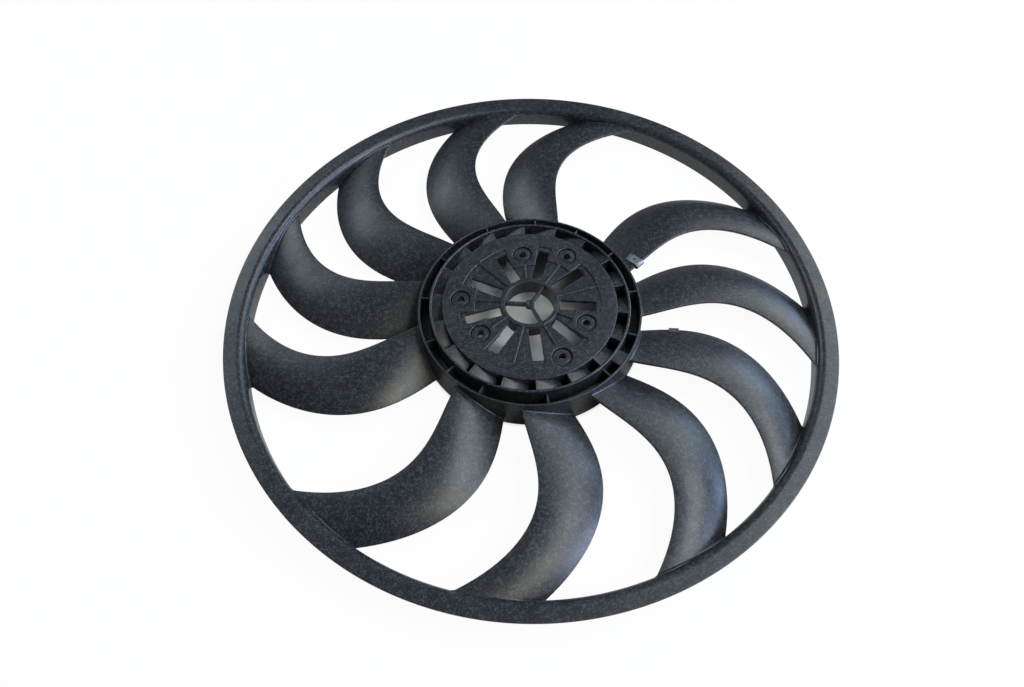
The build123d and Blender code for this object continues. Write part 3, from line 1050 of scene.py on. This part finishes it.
@dataclass
class DriveFace(Moulded):
    """Slotted drive face with sunk pockets, screw seats and a spoked bore."""

    slot_count: int = 9
    slot_start_deg: float = 36.0
    slot_width: float = 8.5
    slot_inner_r: float = 22.8
    slot_outer_r: float = 50.0
    pocket_inner_r: float = 22.0
    pocket_outer_r: float = 53.6
    pocket_depth: float = 1.0
    petal_width: float = 1.8
    hole_r: float = 2.8
    seat_r: float = 7.4
    seat_depth: float = 1.0
    collar_r: float = 5.0
    collar_depth: float = 0.5
    land_span_deg: float = 28.0
    land_margin: float = 10.8
    pad_r: float = 8.0
    pad_height: float = 3.5
    bore_r: float = 18.8
    bore_wall: float = 2.2
    bore_depth: float = 14.0
    spoke_width: float = 2.4
    spoke_drop: float = 1.2
    spoke_height: float = 3.5
    boss_r: float = 3.6
    dimple_r: float = 1.6
    dimple_depth: float = 1.0
    edge_r: float = 0.6
    floor_edge_r: float = 0.3
    spoke_edge_r: float = 0.4
    slot_corner_r: float = 0.8
    pocket_corner_r: float = 0.9
    dimple_floor_share: float = 0.6
    seat_overlap: float = 0.5
    pad_overlap: float = 0.4
    rim_steps: int = 240
    bore_steps: int = 120
    pocket_steps: int = 8
    pocket_step_deg: float = 3.0
    inner_set: tuple[float, float] = (45.5, 96.0)
    outer_set: tuple[float, float] = (52.25, 55.5)
    spoke_start_deg: float = 55.5

    def holes(self) -> list[tuple[float, float]]:
        """(radius, angle) of each screw hole."""
        sets = (self.inner_set, self.outer_set)
        return [(r, a) for r, start in sets for a in even_angles(3, start)]

    def outer_limit(self, deg: float) -> float:
        """Outer radius of the pockets at an angle, less where a screw's land stands."""
        for radius, angle in self.holes():
            if abs((deg - angle + 180) % 360 - 180) < self.land_span_deg / 2:
                return radius - self.land_margin
        return self.pocket_outer_r

    def pocket(self, start_deg: float, end_deg: float) -> list[Point2]:
        """Outline of the pocket between two petals.

        Args:
            start_deg: Angle of the first petal.
            end_deg: Angle of the second petal.

        Returns:
            Points of the outline.
        """
        half = self.petal_width / 2

        def inset(radius: float) -> float:
            """Angle that the petal's half width takes at a radius."""
            return math.degrees(math.asin(half / radius))

        def arc(radius: float, first: float, last: float, steps: int) -> list[Corner]:
            """Corners along an arc between two angles, rounded at both ends."""
            return [
                (*polar(radius, first + (last - first) * k / steps),
                 self.pocket_corner_r if k in (0, steps) else 0)
                for k in range(steps + 1)
            ]

        turn = inset(self.pocket_inner_r)
        corners = arc(self.pocket_inner_r, end_deg - turn, start_deg + turn, self.pocket_steps)
        marks = [start_deg]
        for _, angle in self.holes():
            for side in (-1, 1):
                edge = angle + side * self.land_span_deg / 2
                edge = start_deg + (edge - start_deg) % 360
                if start_deg < edge < end_deg:
                    marks.append(edge)
        marks = sorted(marks) + [end_deg]
        for first, last in zip(marks[:-1], marks[1:]):
            radius = self.outer_limit((first + last) / 2)
            a = first + (inset(radius) if first == start_deg else 0)
            b = last - (inset(radius) if last == end_deg else 0)
            corners += arc(radius, a, b, max(2, round((b - a) / self.pocket_step_deg)))
        return rounded(corners)

    def layer(self, overlap: float, openings: Iterable[list[Point2]]) -> list[list[Point2]]:
        """Outlines of a layer: its rim and bore, its own openings and the screw seats."""
        return [
            circle_outline(HUB.disc_r - overlap, steps=self.rim_steps),
            circle_outline(self.bore_r + overlap, steps=self.bore_steps),
            *openings,
            *(circle_outline(self.seat_r - overlap, polar(r, a)) for r, a in self.holes()),
        ]

    def build_face(self) -> Piece:
        """Makes the raised part of the face, with pockets and seats open."""
        pitch = 360 / self.slot_count
        petals = even_angles(self.slot_count, self.slot_start_deg - pitch / 2)
        outlines = self.layer(0.0, [self.pocket(a, a + pitch) for a in petals])
        return plate("drive_face", outlines, HUB.under_z, HUB.face_z, self.edge_r)

    def build_floor(self) -> Piece:
        """Makes the pocket floor with its slots and screw clearances."""
        radii = (self.slot_inner_r, self.slot_outer_r)
        outlines = self.layer(OVERLAP, [
            slot_outline(*radii, self.slot_width, a, self.slot_corner_r)
            for a in even_angles(self.slot_count, self.slot_start_deg)
        ])
        floor_z = HUB.face_z - self.pocket_depth
        return plate("pocket_floor", outlines, HUB.under_z, floor_z, self.floor_edge_r)

    def build_seats(self, finish: Material) -> list[Piece]:
        """Makes the six stepped screw seats, a set at a time."""
        seat_z = HUB.face_z - self.seat_depth
        collar_z = seat_z + self.collar_depth
        low_z = HUB.under_z - self.pad_height
        wall_r = self.seat_r + self.seat_overlap
        profile = rounded([
            (self.hole_r, low_z, 0.3),
            (self.pad_r, low_z, 0.4),
            (self.pad_r, HUB.under_z + self.pad_overlap, 0),
            (wall_r, HUB.under_z + self.pad_overlap, 0),
            (wall_r, seat_z, 0),
            (self.collar_r, seat_z, 0.15),
            (self.collar_r, collar_z, 0.25),
            (self.hole_r, collar_z, 0.3),
        ])
        sets = []
        names = ("inner_screw_seats", "outer_screw_seats")
        for name, (radius, start) in zip(names, (self.inner_set, self.outer_set)):
            seat = spin("seat", profile, SMALL_SEGMENTS)
            seat.data.transform(Matrix.Translation((radius * MM, 0, 0)))
            sets.append(turned_copies(name, seat, even_angles(3, 0), finish, start))
        return sets

    def build_collar(self) -> Piece:
        """Makes the bore's collar below the face."""
        low_z = HUB.face_z - self.bore_depth
        return spin("bore_collar", rounded([
            (self.bore_r, low_z, 0.5),
            (self.bore_r + self.bore_wall, low_z, 0.5),
            (self.bore_r + self.bore_wall, HUB.under_z + OVERLAP, 0),
            (self.bore_r, HUB.under_z + OVERLAP, 0),
        ]), 180)

    def build_spokes(self, finish: Material) -> list[Piece]:
        """Makes the three spokes and the boss where they meet."""
        top = HUB.face_z - self.spoke_drop
        low = top - self.spoke_height
        outline = bar_outline(self.boss_r - OVERLAP, self.bore_r + OVERLAP, self.spoke_width)
        bar = plate("spoke", [outline], low, top, self.spoke_edge_r)
        spokes = turned_copies("bore_spokes", bar, even_angles(3, 0), finish, self.spoke_start_deg)
        boss = spin("bore_boss", rounded([
            (AXIS_R, low, 0),
            (self.boss_r, low, 0.4),
            (self.boss_r, top, 0.5),
            (self.dimple_r, top, 0.25),
            (self.dimple_r * self.dimple_floor_share, top - self.dimple_depth, 0.3),
            (AXIS_R, top - self.dimple_depth, 0),
        ]), SMALL_SEGMENTS)
        return [spokes, boss]


# ---- Balance clips ----


@dataclass
class BalanceClip:
    """Strip of sheet steel folded over a blade's edge, with a bead at the fold and a small hole."""

    blades: Blades
    node: str
    blade_deg: float
    from_skirt: float
    edge: BladeEdge
    upper_leg: float
    lower_leg: float
    width: float = 7.4
    sheet: float = 0.8
    gap: float = 0.2
    hole_r: float = 0.9
    bead_lift: float = 0.2
    bead_half: float = 0.7
    bead_inset: float = 1.6
    leg_steps: int = 14
    fold_steps: int = 10
    width_steps: int = 8
    edge_r: float = 0.18
    bevel_from_deg: float = 50.0
    punch_steps: int = 28

    @property
    def reach(self) -> float:
        """Distance from the blade's middle to the middle of either leg."""
        return self.blades.thickness / 2 + self.gap + self.sheet / 2

    def place(self, shift: float, inset: float) -> tuple[Vector, Vector, Vector]:
        """Place on the blade's middle surface, with its inward and upward directions.

        Args:
            shift: Distance along the blade's edge.
            inset: Distance in from the edge.

        Returns:
            The point in millimetres and the two directions.
        """
        radius = HUB.skirt_r(0) + self.from_skirt
        side = self.edge.value
        start = self.blades.top(radius, side)
        run = self.blades.top(radius + 1, side) - self.blades.top(radius - 1, side)
        along = Vector((run.x, run.y, 0)).normalized()
        turn = math.pi / 2 if self.edge is BladeEdge.HIGH else -math.pi / 2
        inward = Matrix.Rotation(turn, 3, "Z") @ along
        spot = start + along * shift + inward * inset
        spot_r = math.hypot(spot.x, spot.y)
        high = self.blades.along(self.blades.high_edge_deg, spot_r)
        low = self.blades.along(self.blades.low_edge_deg, spot_r)
        share = (math.degrees(math.atan2(spot.y, spot.x)) - high) / (low - high)
        up = self.blades.facing(spot_r, share)
        middle = self.blades.top(spot_r, share) - up * (self.blades.thickness / 2)
        return middle, (inward - up * inward.dot(up)).normalized(), up

    def line(self) -> list[tuple[float, float, float]]:
        """Middle line of the sheet, from the upper leg's end round the fold to the lower leg's end.

        Returns:
            (inset, distance from the blade's middle inwards, distance upwards) of each point.
        """
        reach = self.reach
        upper = [self.upper_leg * k / self.leg_steps for k in range(self.leg_steps, 0, -1)]
        points = []
        for inset in upper:
            lift = self.bead_lift * max(0.0, 1 - abs(inset - self.bead_inset) / self.bead_half)
            points.append((inset, 0.0, reach + lift))
        for k in range(self.fold_steps + 1):
            a = math.pi * k / self.fold_steps
            points.append((0.0, -reach * math.sin(a), reach * math.cos(a)))
        lower = [self.lower_leg * k / self.leg_steps for k in range(1, self.leg_steps + 1)]
        return points + [(inset, 0.0, -reach) for inset in lower]

    def build_sheet(self) -> Piece:
        """Makes the folded sheet without its thickness."""
        line = self.line()
        vertices = []
        for i in range(self.width_steps + 1):
            shift = self.width * (i / self.width_steps - 0.5)
            for inset, inwards, upwards in line:
                middle, inward, up = self.place(shift, inset)
                vertices.append(tuple(middle + inward * inwards + up * upwards))
        count = len(line)
        faces = [
            [i * count + j, i * count + j + 1, (i + 1) * count + j + 1, (i + 1) * count + j]
            for i in range(self.width_steps) for j in range(count - 1)
        ]
        return mesh_object(self.node, vertices, faces)

    def build(self) -> Piece:
        """Makes the clip: folded sheet, thickness, rounded edges and hole.

        Returns:
            The clip.
        """
        sheet = self.build_sheet()
        thick = sheet.modifiers.new("thickness", "SOLIDIFY")
        thick.thickness = self.sheet * MM
        thick.offset = 0.0
        middle, _, up = self.place(0.0, max(self.upper_leg, self.lower_leg) / 2)
        side = 1 if self.upper_leg > self.lower_leg else -1
        punch = self.build_punch(middle + up * side * self.reach, up)
        cut = sheet.modifiers.new("hole", "BOOLEAN")
        cut.object = punch
        cut.solver = "EXACT"
        mesh = evaluated(sheet)
        bpy.data.objects.remove(sheet)
        bpy.data.objects.remove(punch)
        nearest = min(self.blades.angles(), key=lambda angle: abs(angle - self.blade_deg))
        mesh.transform(Matrix.Rotation(math.radians(nearest), 4, "Z"))
        piece = link(f"{self.node}_sheet", mesh)
        soft = piece.modifiers.new("rounded edges", "BEVEL")
        soft.width = self.edge_r * MM
        soft.segments = 2
        soft.limit_method = "ANGLE"
        soft.angle_limit = math.radians(self.bevel_from_deg)
        return piece

    def build_punch(self, centre: Vector, up: Vector) -> Piece:
        """Makes a round punch through one leg."""
        turn = up.to_track_quat("Z", "Y").to_matrix()
        ring = circle_outline(self.hole_r, steps=self.punch_steps)
        ends = (-self.sheet, self.sheet)
        vertices = [tuple(centre + turn @ Vector((x, y, z))) for z in ends for x, y in ring]
        return mesh_object("punch", vertices, tube_faces(len(ends), len(ring), False))

    def dress(self, piece: Piece, finish: Material) -> None:
        """Gives the clip its finish."""
        settle(piece, finish, self.node)


# ---- Studio ----


@dataclass(frozen=True)
class Lamp:
    """Soft lamp that faces the middle of the floor; the size of its face is in metres."""

    name: str
    azimuth_deg: float
    elevation_deg: float
    watts: float
    colour: str
    size: Point2 = (0.55, 0.55)

    def build(self, distance: float) -> None:
        """Places the lamp.

        Args:
            distance: Distance from the middle of the floor, in metres.
        """
        reach, height = polar(distance, self.elevation_deg)
        place = Vector((*polar(reach, self.azimuth_deg), height))
        lamp = bpy.data.lights.new(self.name, "AREA")
        lamp.shape = "RECTANGLE"
        lamp.size, lamp.size_y = self.size
        lamp.energy = self.watts
        lamp.color = linear(self.colour)[:3]
        facing = place.to_track_quat("Z", "Y").to_matrix().to_4x4()
        link(self.name, lamp).matrix_world = Matrix.Translation(place) @ facing


@dataclass
class Studio:
    """Pale floor, soft lamps and the camera."""

    elevation_deg: float = 58.99
    roll_deg: float = 0.66
    distance: float = 603.0
    right_of_centre: float = 13.46
    above_centre: float = 26.0
    focus_z: float = 22.65
    focal_px: float = 793.0
    frame_width_px: float = 1024.0
    sensor_mm: float = 36.0
    lamp_distance: float = 1.65
    floor_reach: float = 4.0
    world_colour: str = "#c9d3e0"
    world_strength: float = 0.25
    lamps: tuple[Lamp, ...] = (
        Lamp("low_right_window", 340, 25, 19.0, "#cbd9ff"),
        Lamp("far_low_window", 10, 10, 12.4, "#acd0ff"),
        Lamp("low_back_window", 40, 22, 5.7, "#bbdaff"),
        Lamp("back_softbox", 44, 40, 4.4, "#fefff4"),
        Lamp("high_right_softbox", 8, 55, 11.0, "#eaf5fb", (0.8, 0.6)),
        Lamp("front_softbox", 320, 52, 6.9, "#fffee3"),
        Lamp("left_softbox", 138, 40, 6.4, "#e7f5ff", (0.9, 0.55)),
    )

    def axes(self) -> tuple[Vector, Vector, Vector]:
        """Camera's right, up and back directions."""
        e, roll = math.radians(self.elevation_deg), math.radians(self.roll_deg)
        right = Vector((1, 0, 0))
        up = Vector((0, math.sin(e), math.cos(e)))
        back = Vector((0, -math.cos(e), math.sin(e)))
        return (
            right * math.cos(roll) - up * math.sin(roll),
            right * math.sin(roll) + up * math.cos(roll),
            back,
        )

    def build_camera(self) -> Piece:
        """Places the camera at the viewing angle."""
        right, up, back = self.axes()
        place = Vector((0, 0, self.focus_z)) + back * self.distance
        place -= right * self.right_of_centre + up * self.above_centre
        camera = bpy.data.cameras.new("camera")
        camera.sensor_width = self.sensor_mm
        camera.lens = self.focal_px / self.frame_width_px * self.sensor_mm
        holder = link("camera", camera)
        turn = Matrix((right, up, back)).transposed().to_4x4()
        holder.matrix_world = Matrix.Translation(place * MM) @ turn
        bpy.context.scene.camera = holder
        return holder

    def build_floor(self) -> Piece:
        """Lays the pale floor under the skirt."""
        mesh = bpy.data.meshes.new("floor")
        far = self.floor_reach
        corners = [(-far, -far, 0), (far, -far, 0), (far, far, 0), (-far, far, 0)]
        mesh.from_pydata(corners, [], [[0, 1, 2, 3]])
        floor = link("floor", mesh)
        mesh.materials.append(StudioPaper().build())
        return floor

    def build_world(self) -> None:
        """Sets an even pale surround."""
        world = bpy.data.worlds.new("studio")
        bpy.context.scene.world = world
        world.use_nodes = True
        tree = world.node_tree
        tree.nodes.clear()
        path = add_node(tree, "ShaderNodeLightPath")
        dim = add_node(tree, "ShaderNodeBackground", {
            "Color": linear(self.world_colour), "Strength": self.world_strength,
        })
        white = add_node(tree, "ShaderNodeBackground", {"Color": WHITE, "Strength": 1.0})
        mixed = add_node(tree, "ShaderNodeMixShader", {
            0: path.outputs["Is Camera Ray"], 1: dim.outputs[0], 2: white.outputs[0],
        })
        add_node(tree, "ShaderNodeOutputWorld", {"Surface": mixed.outputs[0]})

    def build(self) -> None:
        """Sets up the whole studio."""
        bpy.context.scene.view_settings.view_transform = "Standard"
        self.build_world()
        self.build_floor()
        for lamp in self.lamps:
            lamp.build(self.lamp_distance)
        self.build_camera()


# ---- Assembly ----


def main() -> None:
    """Builds the impeller's pieces in order and dresses them."""
    logging.basicConfig(level=logging.INFO, format="%(name)s %(message)s")
    nylon = MouldedNylon().build()
    steel = ZincSteel().build()
    ring = OuterRing()
    ring.dress(ring.build(), nylon)
    blades = Blades()
    blades.dress(blades.build(nylon), nylon)
    shell = HubShell()
    shell.dress(shell.build(), nylon)
    vanes = ChannelVanes(blades)
    for piece in (vanes.build_vanes(nylon), vanes.build_ribs(nylon), vanes.build_pad()):
        vanes.dress(piece, nylon)
    face = DriveFace()
    pieces = [face.build_face(), face.build_floor(), face.build_collar()]
    for piece in pieces + face.build_seats(nylon) + face.build_spokes(nylon):
        face.dress(piece, nylon)
    for clip in (
        BalanceClip(blades, "front_balance_clip", blade_deg=39.0, from_skirt=10.7,
                    edge=BladeEdge.HIGH, upper_leg=10.5, lower_leg=4.6),
        BalanceClip(blades, "rear_balance_clip", blade_deg=343.0, from_skirt=25.5,
                    edge=BladeEdge.LOW, upper_leg=4.6, lower_leg=10.5),
    ):
        clip.dress(clip.build(), steel)
    Studio().build()


if __name__ == "__main__":
    main()
